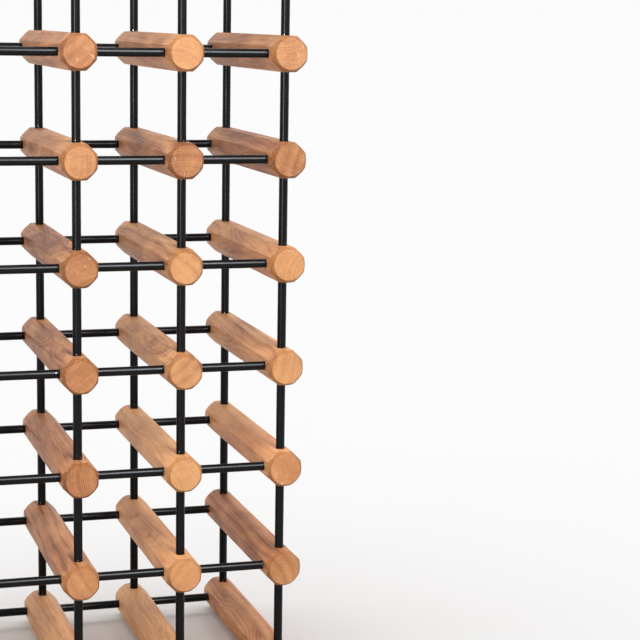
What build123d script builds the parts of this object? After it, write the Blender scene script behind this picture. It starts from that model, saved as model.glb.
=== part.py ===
from build123d import *
import os

# Wine rack: octagonal wooden dowels lie front to back in a square lattice.
# Short black steel rods join each dowel to its neighbours, near the front and near the rear.
# Every rod end sits in a blind socket drilled square into a flat of the dowel.
# Frame: millimetres, +Z up, +X to the right seen from the front, +Y from front to rear.
# Origin: on the floor, at the centre of the rack's footprint.

# Lattice
columns = 4
rows = 8
column_pitch = 100.0
row_pitch = 100.0

# Dowels
dowel_sides = 8
dowel_across_flats = 34.0
dowel_length = 264.0
dowel_edge_round = 0.8
end_bevel_inset = 2.3    # from a flat in to the round end face
end_bevel_length = 4.5   # along the dowel, at the middle of a flat
end_rim_round = 0.6

# Rods and sockets
rod_diameter = 8.5       # an 8 mm steel rod with its black coating
rod_end_bevel = 0.6
rod_setback = 22.0       # from a dowel's end face to the axes of its rods
socket_depth = 10.0
socket_clearance = 0.1   # all round the rod
socket_mouth_bevel = 0.4

# Worked out from the sizes above
half_flats = dowel_across_flats / 2
half_length = dowel_length / 2
rod_plane = half_length - rod_setback
socket_radius = rod_diameter / 2 + socket_clearance
crossbar_length = column_pitch - dowel_across_flats + 2 * socket_depth
upright_length = row_pitch - dowel_across_flats + 2 * socket_depth


def column_x(column):
    return (column - (columns - 1) / 2) * column_pitch


def row_z(row):
    return half_flats + row * row_pitch


def turned_envelope():
    """A round bar along Y whose two ends taper to the round end faces."""
    face_radius = half_flats - end_bevel_inset
    outer_radius = dowel_across_flats    # clear of the octagon's corners
    taper_length = (outer_radius - face_radius) * end_bevel_length / end_bevel_inset
    outline = Polyline(
        (0, -half_length),
        (face_radius, -half_length),
        (outer_radius, taper_length - half_length),
        (outer_radius, half_length - taper_length),
        (face_radius, half_length),
        (0, half_length),
        close=True,
    )
    return revolve(make_face(outline), Axis.Y)


def dowel_blank():
    """An undrilled dowel: an octagonal bar with eased edges and turned ends."""
    flat_up = 180 / dowel_sides
    section = RegularPolygon(half_flats, dowel_sides, major_radius=False, rotation=flat_up)
    bar = extrude(Plane.XZ * section, half_length, both=True)
    bar = fillet(bar.edges().filter_by(Axis.Y), dowel_edge_round)
    bar = bar & turned_envelope()
    rims = bar.faces().filter_by(Axis.Y).edges()
    return fillet(rims, end_rim_round)


def socket_drill():
    """What one socket removes, pointing straight up: a blind hole with an eased mouth."""
    hole = Pos(0, 0, half_flats - socket_depth) * Cylinder(
        socket_radius, socket_depth, align=(Align.CENTER, Align.CENTER, Align.MIN)
    )
    mouth = Pos(0, 0, half_flats - socket_mouth_bevel) * Cone(
        socket_radius,
        socket_radius + socket_mouth_bevel,
        socket_mouth_bevel,
        align=(Align.CENTER, Align.CENTER, Align.MIN),
    )
    return hole + mouth


def drilled_turns(column, row):
    """Where a dowel has neighbours, as turns about Y from straight up."""
    turns = []
    if row + 1 < rows:
        turns.append(0)
    if column + 1 < columns:
        turns.append(90)
    if row > 0:
        turns.append(180)
    if column > 0:
        turns.append(270)
    return turns


def dowel(column, row, blank, drill):
    """One dowel in its place, drilled front and rear on each side where it has a neighbour."""
    drilled = blank
    for turn in drilled_turns(column, row):
        for y in (-rod_plane, rod_plane):
            drilled -= Pos(0, y, 0) * Rot(0, turn, 0) * drill
    return Pos(column_x(column), 0, row_z(row)) * drilled


def rod(length):
    """A straight rod along Z, centred, with bevelled ends."""
    bar = Cylinder(rod_diameter / 2, length)
    return chamfer(bar.edges().filter_by(GeomType.CIRCLE), rod_end_bevel)


def crossbars(row, y):
    """The level rods of one row, each from one column to the next."""
    bar = Rot(0, 90, 0) * rod(crossbar_length)
    return [
        Pos(column_x(column) + column_pitch / 2, y, row_z(row)) * bar
        for column in range(columns - 1)
    ]


def uprights(column, y):
    """The upright rods of one column, each from one row to the next."""
    bar = rod(upright_length)
    return [
        Pos(column_x(column), y, row_z(row) + row_pitch / 2) * bar
        for row in range(rows - 1)
    ]


def save(name, *pieces):
    solids = [solid for piece in pieces for solid in piece.solids()]
    export_step(Compound(solids), f"parts/{name}.step")


def main():
    os.makedirs("parts", exist_ok=True)
    blank = dowel_blank()
    drill = socket_drill()
    for row in range(rows):
        for column in range(columns):
            save(f"dowel_row{row + 1}_column{column + 1}", dowel(column, row, blank, drill))
    for place, y in (("front", -rod_plane), ("rear", rod_plane)):
        for row in range(rows):
            save(f"{place}_crossbars_row{row + 1}", *crossbars(row, y))
        for column in range(columns):
            save(f"{place}_uprights_column{column + 1}", *uprights(column, y))


main()
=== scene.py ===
import math
import random

import bmesh
import bpy
from mathutils import Matrix, Vector


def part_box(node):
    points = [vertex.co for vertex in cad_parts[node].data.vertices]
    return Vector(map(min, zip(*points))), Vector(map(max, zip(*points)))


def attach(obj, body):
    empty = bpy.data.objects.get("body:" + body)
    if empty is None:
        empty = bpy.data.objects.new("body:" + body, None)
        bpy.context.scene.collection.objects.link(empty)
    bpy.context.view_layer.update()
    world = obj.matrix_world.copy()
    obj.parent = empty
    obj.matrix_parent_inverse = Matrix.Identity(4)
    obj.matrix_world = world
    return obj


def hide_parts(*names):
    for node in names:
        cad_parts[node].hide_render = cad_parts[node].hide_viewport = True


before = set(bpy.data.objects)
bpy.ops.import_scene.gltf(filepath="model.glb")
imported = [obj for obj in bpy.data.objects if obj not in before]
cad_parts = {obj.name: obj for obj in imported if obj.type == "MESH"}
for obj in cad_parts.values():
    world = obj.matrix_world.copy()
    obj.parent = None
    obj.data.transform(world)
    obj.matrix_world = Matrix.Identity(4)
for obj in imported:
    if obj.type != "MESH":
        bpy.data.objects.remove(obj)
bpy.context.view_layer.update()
print("frame loaded:", len(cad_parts), "nodes")

# the lattice, read off the frame
rowCount = sum(name.startswith("front_crossbars_row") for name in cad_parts)
columnCount = sum(name.startswith("front_uprights_column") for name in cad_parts)


def middleOf(node):
    low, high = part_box(node)
    return (low + high) / 2


def dowelNode(row, column):
    return f"dowel_row{row}_column{column}"


firstLow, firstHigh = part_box(dowelNode(1, 1))
crossLow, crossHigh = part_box("front_crossbars_row1")
halfFlats = (firstHigh.x - firstLow.x) / 2
halfLength = (firstHigh.y - firstLow.y) / 2
rodRadius = (crossHigh.z - crossLow.z) / 2
socketDepth = firstHigh.x - crossLow.x
rodPlanes = {place: middleOf(f"{place}_crossbars_row1").y for place in ("front", "rear")}


# small helpers for meshes
meshing = dict(sharpDegrees=24.0, weldDistance=1e-6)


def meshFrom(bm, name):
    mesh = bpy.data.meshes.new(name)
    bm.to_mesh(mesh)
    bm.free()
    return mesh


def spinOutline(bm, outline, steps):
    before = set(bm.verts)
    verts = [bm.verts.new((across, 0.0, up)) for across, up in outline]
    edges = [bm.edges.new(pair) for pair in zip(verts, verts[1:])]
    bmesh.ops.spin(
        bm, geom=verts + edges, cent=(0, 0, 0), axis=(0, 0, 1), dvec=(0, 0, 0),
        angle=2 * math.pi, steps=steps, use_merge=True,
    )
    return [vert for vert in bm.verts if vert not in before]


def weld(bm):
    bmesh.ops.remove_doubles(bm, verts=bm.verts[:], dist=meshing["weldDistance"])
    bmesh.ops.recalc_face_normals(bm, faces=bm.faces[:])


def pieceFrom(mesh, node, material):
    piece = bpy.data.objects.new(mesh.name, mesh)
    bpy.context.scene.collection.objects.link(piece)
    mesh.materials.append(material)
    mesh.shade_smooth()
    mesh.set_sharp_from_angle(angle=math.radians(meshing["sharpDegrees"]))
    facets = piece.modifiers.new("evenFacets", "WEIGHTED_NORMAL")
    facets.keep_sharp = True
    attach(piece, "root")
    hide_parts(node)


# small helpers for nodes
def addNode(tree, kind, inputs=None, **settings):
    node = tree.nodes.new(kind)
    for key, value in settings.items():
        setattr(node, key, value)
    for key, value in (inputs or {}).items():
        if isinstance(value, bpy.types.NodeSocket):
            tree.links.new(value, node.inputs[key])
        else:
            node.inputs[key].default_value = value
    return node


def attributeOf(tree, name, output="Fac"):
    return addNode(tree, "ShaderNodeAttribute", attribute_name=name).outputs[output]


def mathOf(tree, operation, first, second=0.0, third=0.0):
    inputs = {0: first, 1: second, 2: third}
    return addNode(tree, "ShaderNodeMath", inputs, operation=operation).outputs[0]


def spreadOf(tree, fac, ends):    # the first end where fac is 0, the second where it is 1
    first, second = ends
    return mathOf(tree, "MULTIPLY_ADD", fac, second - first, first)


def stretchOf(tree, vector, stretch):
    return addNode(tree, "ShaderNodeMapping", {"Vector": vector, "Scale": stretch}).outputs[0]


def noiseOf(tree, vector, stretch, detail=2.0, roughness=0.5):
    placed = stretchOf(tree, vector, stretch)
    inputs = {"Vector": placed, "Scale": 1.0, "Detail": detail, "Roughness": roughness}
    return addNode(tree, "ShaderNodeTexNoise", inputs).outputs["Fac"]


def grey(value):
    return (value, value, value)


def opaque(colour):
    return (*colour, 1.0)


def rampOf(tree, fac, stops, interpolation="LINEAR"):
    ramp = addNode(tree, "ShaderNodeValToRGB", {"Fac": fac})
    ramp.color_ramp.interpolation = interpolation
    while len(ramp.color_ramp.elements) < len(stops):
        ramp.color_ramp.elements.new(0.5)
    for element, (position, colour) in zip(ramp.color_ramp.elements, stops):
        element.position = position
        element.color = opaque(colour if isinstance(colour, tuple) else grey(colour))
    return ramp.outputs["Color"]


def stepOf(tree, fac, limits, below=0.0, above=1.0, interpolation="LINEAR"):
    low, high = limits
    return rampOf(tree, fac, [(low, below), (high, above)], interpolation)


def mixOf(tree, fac, first, second, blend="MIX"):
    inputs = {0: fac, 6: first, 7: second}
    return addNode(tree, "ShaderNodeMix", inputs, data_type="RGBA", blend_type=blend).outputs[2]


def bumpOf(tree, height, strength, distance):
    inputs = {"Height": height, "Strength": strength, "Distance": distance}
    return addNode(tree, "ShaderNodeBump", inputs).outputs[0]


def emptyMaterial(name):
    material = bpy.data.materials.new(name)
    material.use_nodes = True
    tree = material.node_tree
    return material, tree, tree.nodes["Principled BSDF"]


# wood of the dowels: oiled, with pale early wood and red-brown late wood
dowelWood = dict(
    palest=(0.600, 0.324, 0.146),
    middle=(0.470, 0.224, 0.096),
    darkest=(0.250, 0.094, 0.038),
    deepest=(0.150, 0.053, 0.022),
    shadeStops=(0.0, 0.375, 0.75, 1.0),    # the depths at which these four shades stand
    endShade=(0.67, 0.68, 0.69),
    # burnished tone of the turned bevel, deepened with painted shade
    burnishAndPaintedShade=(0.90, 0.84, 0.77),
    yellowTint=(1.04, 1.06, 1.00),
    redTint=(0.97, 0.90, 0.84),
    knot=(0.150, 0.055, 0.028),
    # pale marks on the ends: scuffs, and painted glints of the finish
    scuffAndGlint=(0.800, 0.620, 0.460),
    # how far the surface faces along the bar where the turned bevel and the end face begin
    bevelLimits=(0.20, 0.40),
    faceLimits=(0.60, 0.85),
    # growth rings and knots
    ringsPerMetre=600.0,
    ringWander=2.6,
    ringBow=10.0,
    lateStops=((0.0, 0.05), (0.45, 0.20), (0.84, 1.0), (1.0, 0.05)),    # late wood through one ring
    bandsPerRing=0.30,
    knotPull=0.9,
    knotReach=(0.0, 0.40),
    knotCore=(0.045, 0.085),
    # noise cells per metre, the middle number along the bar
    wanderStretch=(34.0, 5.0, 34.0),
    bowStretch=(4.0, 8.0, 4.0),
    knotStretch=(3.0, 6.5, 17.0),
    fibreStretch=(900.0, 14.0, 900.0),
    poreStretch=(1500.0, 70.0, 1500.0),
    streakStretch=(250.0, 5.0, 250.0),
    cloudStretch=(40.0, 16.0, 40.0),
    crackStretch=(45.0, 3.0, 800.0),
    scuffAndGlintStretch=(130.0, 300.0, 420.0),
    # the noise at which a mark begins and is full
    poreLimits=(0.62, 0.74),
    streakLimits=(0.54, 0.72),
    crackLimits=(0.75, 0.80),
    scuffAndGlintLimits=(0.62, 0.76),
    # how much each thing deepens the shade, on the sides and on the ends
    toneDepth=(0.60, 0.40),
    ringDepth=(0.26, 0.34),
    bandDepth=(0.85, 0.45),
    fibreDepth=(0.90, 0.90),
    streakDepth=(0.24, 0.0),
    cloudDepth=(1.30, 0.60),
    startDepth=-1.30,
    endDepth=(0.60, 0.80),    # for the palest and the darkest end
    depthScale=0.75,
    # how strongly each mark shows
    poreShow=0.45,
    knotShow=0.85,
    crackShow=0.5,
    scuffAndGlintShow=(0.06, 0.22),    # for the palest and the darkest end
    # finish
    roughness=(0.40, 0.56),
    gloss=0.22,
    fibreRise=0.5,
    poreSink=0.6,
    reliefStrength=0.35,
    reliefHeight=0.0004,
)


def dowelWoodMaterial():
    material, tree, shader = emptyMaterial("dowelWood")
    grain = attributeOf(tree, "grain", "Vector")
    tone = attributeOf(tree, "tone")
    endTone = attributeOf(tree, "endTone")
    redness = attributeOf(tree, "redness")

    # cut ends show end grain, and the turned bevel is burnished and darkened with painted shade
    facing = addNode(tree, "ShaderNodeTexCoord").outputs["Normal"]
    alongBar = addNode(tree, "ShaderNodeSeparateXYZ", {0: facing}).outputs["Y"]
    endOn = mathOf(tree, "ABSOLUTE", alongBar)
    endGrain = stepOf(tree, endOn, dowelWood["bevelLimits"])
    bevelBand = mathOf(tree, "SUBTRACT", endGrain, stepOf(tree, endOn, dowelWood["faceLimits"]))

    # knots run out from the pith and push the rings aside
    knotPlace = stretchOf(tree, grain, dowelWood["knotStretch"])
    knots = addNode(tree, "ShaderNodeTexVoronoi", {"Vector": knotPlace, "Scale": 1.0})
    fromKnot = knots.outputs["Distance"]
    knotPush = stepOf(tree, fromKnot, dowelWood["knotReach"], 1.0, 0.0, "EASE")
    knotCore = stepOf(tree, fromKnot, dowelWood["knotCore"], 1.0, 0.0)

    # growth rings round a pith that lies outside the bar
    wander = noiseOf(tree, grain, dowelWood["wanderStretch"], detail=1.0)
    bow = noiseOf(tree, grain, dowelWood["bowStretch"], detail=1.0)
    inPlane = {0: grain, 1: (1.0, 0.0, 1.0)}
    across = addNode(tree, "ShaderNodeVectorMath", inPlane, operation="MULTIPLY").outputs[0]
    distance = addNode(tree, "ShaderNodeVectorMath", {0: across}, operation="LENGTH").outputs["Value"]
    rings = mathOf(tree, "MULTIPLY", distance, dowelWood["ringsPerMetre"])
    rings = mathOf(tree, "MULTIPLY_ADD", wander, dowelWood["ringWander"], rings)
    rings = mathOf(tree, "MULTIPLY_ADD", bow, dowelWood["ringBow"], rings)
    rings = mathOf(tree, "MULTIPLY_ADD", knotPush, dowelWood["knotPull"], rings)
    lateWood = rampOf(tree, mathOf(tree, "FRACT", rings), dowelWood["lateStops"])
    bandInputs = {"W": rings, "Scale": dowelWood["bandsPerRing"], "Detail": 3.0, "Roughness": 0.6}
    bands = addNode(tree, "ShaderNodeTexNoise", bandInputs, noise_dimensions="1D").outputs["Fac"]

    # fibres, pores, darker streaks and soft clouds run along the bar
    fibres = noiseOf(tree, grain, dowelWood["fibreStretch"], detail=4.0, roughness=0.65)
    pores = noiseOf(tree, grain, dowelWood["poreStretch"], detail=1.0)
    pores = stepOf(tree, pores, dowelWood["poreLimits"])
    streaks = noiseOf(tree, grain, dowelWood["streakStretch"], detail=3.0)
    streaks = stepOf(tree, streaks, dowelWood["streakLimits"])
    clouds = noiseOf(tree, grain, dowelWood["cloudStretch"], detail=3.0, roughness=0.6)

    # the depth of the shade adds them up
    layers = (
        (tone, "toneDepth"),
        (lateWood, "ringDepth"),
        (bands, "bandDepth"),
        (fibres, "fibreDepth"),
        (streaks, "streakDepth"),
        (clouds, "cloudDepth"),
    )
    depth = dowelWood["startDepth"]
    for fac, weights in layers:
        weight = spreadOf(tree, endGrain, dowelWood[weights])
        depth = mathOf(tree, "MULTIPLY_ADD", fac, weight, depth)
    endDepth = spreadOf(tree, endTone, dowelWood["endDepth"])
    depth = mathOf(tree, "MULTIPLY_ADD", endGrain, endDepth, depth)
    depth = mathOf(tree, "MULTIPLY", depth, dowelWood["depthScale"])
    shades = [dowelWood[shade] for shade in ("palest", "middle", "darkest", "deepest")]
    colour = rampOf(tree, depth, list(zip(dowelWood["shadeStops"], shades)))
    colour = mixOf(tree, endGrain, colour, opaque(dowelWood["endShade"]), "MULTIPLY")
    # painted shade: the turned bevel is darkened all round, in place of the shade that falls on its side
    colour = mixOf(tree, bevelBand, colour, opaque(dowelWood["burnishAndPaintedShade"]), "MULTIPLY")
    tint = mixOf(tree, redness, opaque(dowelWood["yellowTint"]), opaque(dowelWood["redTint"]))
    colour = mixOf(tree, 1.0, colour, tint, "MULTIPLY")

    # pores and knots all over, and on the ends drying cracks and pale scuffs that are partly painted
    # glints
    cracks = noiseOf(tree, grain, dowelWood["crackStretch"], detail=1.0)
    cracks = mathOf(tree, "MULTIPLY", stepOf(tree, cracks, dowelWood["crackLimits"]), endGrain)
    # painted highlight: pale spots on the end faces stand for scuffs and for glints of the finish
    scuffsAndGlints = noiseOf(tree, grain, dowelWood["scuffAndGlintStretch"], detail=3.0)
    scuffsAndGlints = mathOf(tree, "MULTIPLY", stepOf(tree, scuffsAndGlints, dowelWood["scuffAndGlintLimits"]), endGrain)
    marks = (
        (pores, dowelWood["poreShow"], "darkest"),
        (knotCore, dowelWood["knotShow"], "knot"),
        (cracks, dowelWood["crackShow"], "knot"),
        (scuffsAndGlints, spreadOf(tree, endTone, dowelWood["scuffAndGlintShow"]), "scuffAndGlint"),
    )
    for fac, show, shade in marks:
        colour = mixOf(tree, mathOf(tree, "MULTIPLY", fac, show), colour, opaque(dowelWood[shade]))

    polish = spreadOf(tree, fibres, dowelWood["roughness"])
    risen = mathOf(tree, "MULTIPLY", fibres, dowelWood["fibreRise"])
    sunken = mathOf(tree, "MULTIPLY_ADD", pores, dowelWood["poreSink"], cracks)
    relief = mathOf(tree, "SUBTRACT", risen, sunken)
    bump = bumpOf(tree, relief, dowelWood["reliefStrength"], dowelWood["reliefHeight"])
    tree.links.new(colour, shader.inputs["Base Color"])
    tree.links.new(polish, shader.inputs["Roughness"])
    tree.links.new(bump, shader.inputs["Normal"])
    shader.inputs["Specular IOR Level"].default_value = dowelWood["gloss"]
    return material


# black coating of the rods, chipped a little where they enter the wood
rodCoating = dict(
    black=(0.0014, 0.0014, 0.0015),
    bareSteel=(0.34, 0.33, 0.32),
    sheen=(0.92, 0.95, 1.00),
    roughness=(0.17, 0.35),
    gloss=0.165,
    wearReach=0.010,    # from the mouth of the socket
    wearPull=0.20,
    chipLimits=(0.80, 0.83),
    chipStretch=grey(420.0),
    smudgeStretch=grey(55.0),
    peelStretch=grey(1300.0),
    peelStrength=0.1,
    peelHeight=0.0001,
)


def rodCoatingMaterial():
    material, tree, shader = emptyMaterial("rodCoating")
    place = addNode(tree, "ShaderNodeTexCoord").outputs["Object"]
    wear = attributeOf(tree, "wear")
    chips = noiseOf(tree, place, rodCoating["chipStretch"], detail=4.0, roughness=0.6)
    bare = mathOf(tree, "MULTIPLY_ADD", wear, rodCoating["wearPull"], chips)
    bare = stepOf(tree, bare, rodCoating["chipLimits"])
    smudges = noiseOf(tree, place, rodCoating["smudgeStretch"], detail=3.0)
    peel = noiseOf(tree, place, rodCoating["peelStretch"], detail=1.0)
    colour = mixOf(tree, bare, opaque(rodCoating["black"]), opaque(rodCoating["bareSteel"]))
    polish = spreadOf(tree, smudges, rodCoating["roughness"])
    bump = bumpOf(tree, peel, rodCoating["peelStrength"], rodCoating["peelHeight"])
    tree.links.new(colour, shader.inputs["Base Color"])
    tree.links.new(bare, shader.inputs["Metallic"])
    tree.links.new(polish, shader.inputs["Roughness"])
    tree.links.new(bump, shader.inputs["Normal"])
    shader.inputs["Specular IOR Level"].default_value = rodCoating["gloss"]
    shader.inputs["Specular Tint"].default_value = opaque(rodCoating["sheen"])
    return material


# dowels: an eased octagonal bar, turned at both ends and drilled for its rods
dowelForm = dict(
    sides=8,
    edgeRound=0.0008,
    edgeSteps=3,
    flatCuts=7,
    bevelInset=0.0023,
    bevelLength=0.0045,
    rimRound=0.0004,
    rimSteps=3,
    turningWander=0.0005,
    socketGap=0.0001,
    mouthBevel=0.0004,
    socketSteps=32,
    pithNear=0.030,
    pithFar=0.075,
    trunkLength=40.0,
    grainLean=2.5,
    seed=7,
)


def nextRing(bm, ring):
    made = bmesh.ops.extrude_edge_only(bm, edges=ring)["geom"]
    verts = [item for item in made if isinstance(item, bmesh.types.BMVert)]
    edges = [item for item in made if isinstance(item, bmesh.types.BMEdge)]
    return verts, [edge for edge in edges if edge.verts[0] in verts and edge.verts[1] in verts]


def turnedBar(frontWander, rearWander):
    bm = bmesh.new()
    sides = dowelForm["sides"]
    halfTurn = math.pi / sides
    bmesh.ops.create_circle(bm, cap_ends=True, segments=sides, radius=halfFlats / math.cos(halfTurn))
    flatUp = Matrix.Rotation(math.pi / 2, 3, "X") @ Matrix.Rotation(halfTurn, 3, "Z")
    bmesh.ops.rotate(bm, verts=bm.verts, matrix=flatUp)
    bmesh.ops.bevel(
        bm, geom=bm.verts[:], offset=dowelForm["edgeRound"] * math.tan(halfTurn), offset_type="OFFSET",
        segments=dowelForm["edgeSteps"], profile=0.5, affect="VERTICES", material=-1,
    )
    flats = [edge for edge in bm.edges if edge.calc_length() > halfFlats / 2]    # the rest are eased edges
    bmesh.ops.subdivide_edges(bm, edges=flats, cuts=dowelForm["flatCuts"])
    bmesh.ops.delete(bm, geom=bm.faces[:], context="FACES_ONLY")
    section = bm.edges[:]
    faceRadius = halfFlats - dowelForm["bevelInset"]
    slope = dowelForm["bevelLength"] / dowelForm["bevelInset"]

    def fromCentre(vert, wander):
        return Vector((vert.co.x - wander.x, 0.0, vert.co.z - wander.z))

    def toScallops(verts, end, wander):    # where the turned cone leaves the flats
        for vert in verts:
            vert.co.y = end * (halfLength - slope * (fromCentre(vert, wander).length - faceRadius))

    def toRim(verts, end, wander):
        for vert in verts:
            vert.co = wander + fromCentre(vert, wander).normalized() * faceRadius
            vert.co.y = end * halfLength

    toScallops(bm.verts, -1, frontWander)
    rearVerts, rearRing = nextRing(bm, section)
    toScallops(rearVerts, 1, rearWander)
    rims = []
    for ring, end, wander in ((section, -1, frontWander), (rearRing, 1, rearWander)):
        rimVerts, rim = nextRing(bm, ring)
        toRim(rimVerts, end, wander)
        bmesh.ops.contextual_create(bm, geom=rim)
        rims += rim
    bmesh.ops.bevel(
        bm, geom=rims, offset=dowelForm["rimRound"], offset_type="OFFSET",
        segments=dowelForm["rimSteps"], profile=0.5, affect="EDGES", material=-1,
    )
    bmesh.ops.recalc_face_normals(bm, faces=bm.faces[:])
    return bm


def socketDrills(turns):
    bm = bmesh.new()
    radius = rodRadius + dowelForm["socketGap"]
    mouth = dowelForm["mouthBevel"]
    outline = (
        (0.0, halfFlats - socketDepth),
        (radius, halfFlats - socketDepth),
        (radius, halfFlats - mouth),
        (radius + 2 * mouth, halfFlats + mouth),
        (0.0, halfFlats + mouth),
    )
    for turn in turns:
        for y in rodPlanes.values():
            drill = spinOutline(bm, outline, dowelForm["socketSteps"])
            bmesh.ops.rotate(bm, verts=drill, matrix=Matrix.Rotation(math.radians(turn), 3, "Y"))
            bmesh.ops.translate(bm, verts=drill, vec=(0.0, y, 0.0))
    weld(bm)
    return bm


def drilledMesh(bar, drills, name):
    barPiece = bpy.data.objects.new(name, meshFrom(bar, name))
    drillPiece = bpy.data.objects.new("socketDrills", meshFrom(drills, "socketDrills"))
    for thing in (barPiece, drillPiece):
        bpy.context.scene.collection.objects.link(thing)
    cut = barPiece.modifiers.new("sockets", "BOOLEAN")
    cut.operation = "DIFFERENCE"
    cut.solver = "EXACT"
    cut.object = drillPiece
    shaped = barPiece.evaluated_get(bpy.context.evaluated_depsgraph_get())
    mesh = bpy.data.meshes.new_from_object(shaped)
    for thing in (barPiece, drillPiece):
        spent = thing.data
        bpy.data.objects.remove(thing)
        bpy.data.meshes.remove(spent)
    mesh.name = name
    return mesh


def markGrain(mesh, draw):
    # each bar is sawn from its own place in a trunk
    lean = math.radians(dowelForm["grainLean"])
    turn = Matrix.Rotation(draw.uniform(0, 2 * math.pi), 4, "Y")
    leanX = Matrix.Rotation(draw.uniform(-lean, lean), 4, "X")
    leanZ = Matrix.Rotation(draw.uniform(-lean, lean), 4, "Z")
    fromPith = draw.uniform(dowelForm["pithNear"], dowelForm["pithFar"])
    upTrunk = draw.uniform(0, dowelForm["trunkLength"])
    place = Matrix.Translation((fromPith, upTrunk, 0.0)) @ turn @ (leanX @ leanZ)
    grain = mesh.attributes.new("grain", "FLOAT_VECTOR", "POINT")
    for item, vert in zip(grain.data, mesh.vertices):
        item.vector = place @ vert.co
    for name in ("tone", "endTone", "redness"):
        layer = mesh.attributes.new(name, "FLOAT", "POINT")
        shade = draw.random()
        for item in layer.data:
            item.value = shade


def drilledTurns(row, column):    # degrees about Y from straight up, where a dowel has a neighbour
    wanted = {0: row < rowCount, 90: column < columnCount, 180: row > 1, 270: column > 1}
    return [turn for turn, needed in wanted.items() if needed]


def offCentre(draw):    # how far from the bar's axis one end was turned
    off = dowelForm["turningWander"]
    return Vector((draw.uniform(-off, off), 0.0, draw.uniform(-off, off)))


def makeDowels(material):
    draw = random.Random(dowelForm["seed"])
    for row in range(1, rowCount + 1):
        for column in range(1, columnCount + 1):
            node = dowelNode(row, column)
            bar = turnedBar(offCentre(draw), offCentre(draw))
            drills = socketDrills(drilledTurns(row, column))
            mesh = drilledMesh(bar, drills, f"dowelBar_row{row}_column{column}")
            markGrain(mesh, draw)
            mesh.transform(Matrix.Translation(middleOf(node)))
            pieceFrom(mesh, node, material)
    print("dowels:", rowCount * columnCount)


# rods: lathe-turned bars with bevelled ends
rodForm = dict(steps=32, endBevel=0.0006)


def addRod(bm, start, end):
    length = (end - start).length
    bevel = rodForm["endBevel"]
    reach = rodCoating["wearReach"]
    stations = [bevel, socketDepth, socketDepth + reach / 3, socketDepth + reach]
    stations += [length / 2] + [length - station for station in reversed(stations)]
    outline = [(0.0, 0.0), (rodRadius - bevel, 0.0)]
    outline += [(rodRadius, station) for station in stations]
    outline += [(rodRadius - bevel, length), (0.0, length)]
    rod = spinOutline(bm, outline, rodForm["steps"])
    wear = bm.verts.layers.float["wear"]
    for vert in rod:
        fromMouth = min(vert.co.z, length - vert.co.z) - socketDepth
        vert[wear] = 1.0 - min(max(fromMouth / reach, 0.0), 1.0)
    direction = (end - start).to_track_quat("Z", "Y").to_matrix()
    bmesh.ops.rotate(bm, verts=rod, matrix=direction)
    bmesh.ops.translate(bm, verts=rod, vec=start)


def rodPiece(node, name, dowels, y, material):
    bm = bmesh.new()
    bm.verts.layers.float.new("wear")
    for first, second in zip(dowels, dowels[1:]):
        start = middleOf(first)
        end = middleOf(second)
        start.y = end.y = y
        inset = (end - start).normalized() * (halfFlats - socketDepth)
        addRod(bm, start + inset, end - inset)
    weld(bm)
    pieceFrom(meshFrom(bm, name), node, material)


def makeRods(material):
    rows = range(1, rowCount + 1)
    columns = range(1, columnCount + 1)
    for place, y in rodPlanes.items():
        for row in rows:
            dowels = [dowelNode(row, column) for column in columns]
            name = f"{place}Crossbars_row{row}"
            rodPiece(f"{place}_crossbars_row{row}", name, dowels, y, material)
        for column in columns:
            dowels = [dowelNode(row, column) for row in rows]
            name = f"{place}Uprights_column{column}"
            rodPiece(f"{place}_uprights_column{column}", name, dowels, y, material)
    print("rods done")


makeDowels(dowelWoodMaterial())
makeRods(rodCoatingMaterial())


# studio: a pale floor that runs to the horizon, and surroundings that are brightest above and behind
studio = dict(
    floorHalf=400.0,
    floorColour=grey(0.755),
    floorMottle=0.985,
    mottleStretch=grey(3.0),
    floorRoughness=0.9,
    floorGlow=0.05,
    horizon=grey(0.967),
    skyFront=grey(0.42),
    skyBack=grey(1.08),
    skyTop=grey(1.50),
    backLimits=(0.10, 0.45),    # from 0 in front to 1 behind
    topLimits=(0.45, 0.85),    # from 0 at the horizon to 1 overhead
    horizonLimits=(0.05, 0.25),
)

# two tall softboxes: a wide one high at the front right, and a slim one at the front left
rightBox = dict(place=(0.34, -1.35, 1.34), aim=(0.0, 0.0, 0.40), width=0.50, height=0.80, power=41.0)
leftBox = dict(place=(-0.90, -1.44, 0.67), aim=(0.0, 0.0, 0.66), width=0.30, height=0.76, power=20.5)


def floorMaterial():
    material, tree, shader = emptyMaterial("floorPaper")
    place = addNode(tree, "ShaderNodeTexCoord").outputs["Object"]
    mottle = noiseOf(tree, place, studio["mottleStretch"], detail=2.0)
    darker = tuple(studio["floorMottle"] * channel for channel in studio["floorColour"])
    colour = mixOf(tree, mottle, opaque(studio["floorColour"]), opaque(darker))
    tree.links.new(colour, shader.inputs["Base Color"])
    shader.inputs["Roughness"].default_value = studio["floorRoughness"]
    shader.inputs["Specular IOR Level"].default_value = 0.0
    shader.inputs["Emission Color"].default_value = (1.0, 1.0, 1.0, 1.0)
    shader.inputs["Emission Strength"].default_value = studio["floorGlow"]
    return material


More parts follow.
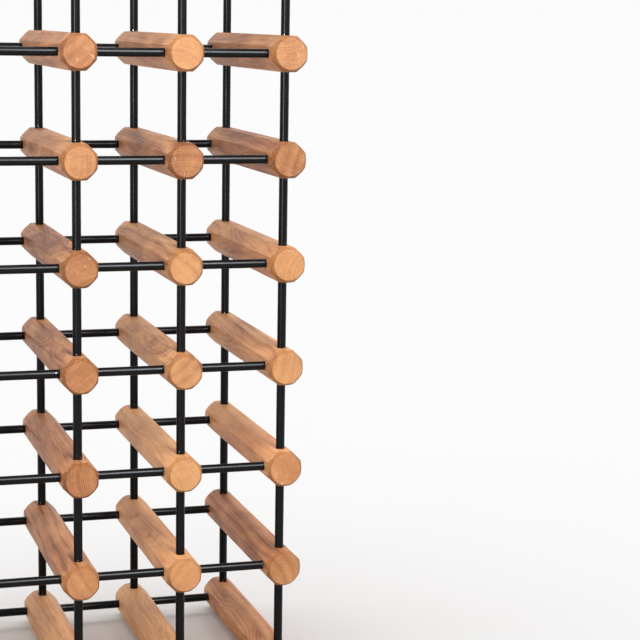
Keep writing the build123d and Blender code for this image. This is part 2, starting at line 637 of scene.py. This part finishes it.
def makeSurroundings():
    world = bpy.data.worlds.new("studio")
    world.use_nodes = True
    tree = world.node_tree
    direction = addNode(tree, "ShaderNodeTexCoord").outputs["Generated"]
    parts = addNode(tree, "ShaderNodeSeparateXYZ", {0: direction})
    frontToBack = spreadOf(tree, parts.outputs["Y"], (0.5, 1.0))
    sky = stepOf(tree, frontToBack, studio["backLimits"], studio["skyFront"], studio["skyBack"])
    overhead = stepOf(tree, parts.outputs["Z"], studio["topLimits"])
    sky = mixOf(tree, overhead, sky, opaque(studio["skyTop"]))
    aboveHorizon = stepOf(tree, parts.outputs["Z"], studio["horizonLimits"])
    colour = mixOf(tree, aboveHorizon, opaque(studio["horizon"]), sky)
    tree.links.new(colour, tree.nodes["Background"].inputs["Color"])
    bpy.context.scene.world = world


def makeSoftbox(name, form, floor):
    light = bpy.data.lights.new(name, "AREA")
    light.shape = "RECTANGLE"
    light.size = form["width"]
    light.size_y = form["height"]
    light.energy = form["power"]
    lightObject = bpy.data.objects.new(name, light)
    lightObject.location = form["place"]
    aim = Vector(form["aim"]) - Vector(form["place"])
    lightObject.rotation_euler = aim.to_track_quat("-Z", "Y").to_euler()
    lightObject.visible_camera = False
    bpy.context.scene.collection.objects.link(lightObject)
    flagged = bpy.data.collections.new(f"{name}Flag")    # keeps the box's light off the floor
    flagged.objects.link(floor)
    lightObject.light_linking.receiver_collection = flagged
    flagged.collection_objects[0].light_linking.link_state = "EXCLUDE"


def makeStudio():
    bm = bmesh.new()
    bmesh.ops.create_grid(bm, x_segments=1, y_segments=1, size=studio["floorHalf"])
    floor = bpy.data.objects.new("floor", meshFrom(bm, "floor"))
    floor.data.materials.append(floorMaterial())
    bpy.context.scene.collection.objects.link(floor)
    makeSurroundings()
    makeSoftbox("rightBox", rightBox, floor)
    makeSoftbox("leftBox", leftBox, floor)
    bpy.context.scene.view_settings.view_transform = "Standard"
    print("studio lit")


# camera at the photograph's place, turned right, tilted down and rolled a little
cameraPose = dict(
    place=(-0.3563, -1.8487, 0.6517),
    turn=17.41,
    tilt=9.10,
    roll=0.894,
    lens=106.35,
    sensor=36.0,
)


def makeCamera():
    camera = bpy.data.cameras.new("camera")
    camera.lens = cameraPose["lens"]
    camera.sensor_width = cameraPose["sensor"]
    cameraObject = bpy.data.objects.new("camera", camera)
    heading = Matrix.Rotation(math.radians(-cameraPose["turn"]), 4, "Z")
    pitch = Matrix.Rotation(math.radians(90 - cameraPose["tilt"]), 4, "X")
    roll = Matrix.Rotation(math.radians(cameraPose["roll"]), 4, "Z")
    cameraObject.matrix_world = Matrix.Translation(cameraPose["place"]) @ heading @ pitch @ roll
    bpy.context.scene.collection.objects.link(cameraObject)
    bpy.context.scene.camera = cameraObject
    print("camera set")


makeStudio()
makeCamera()
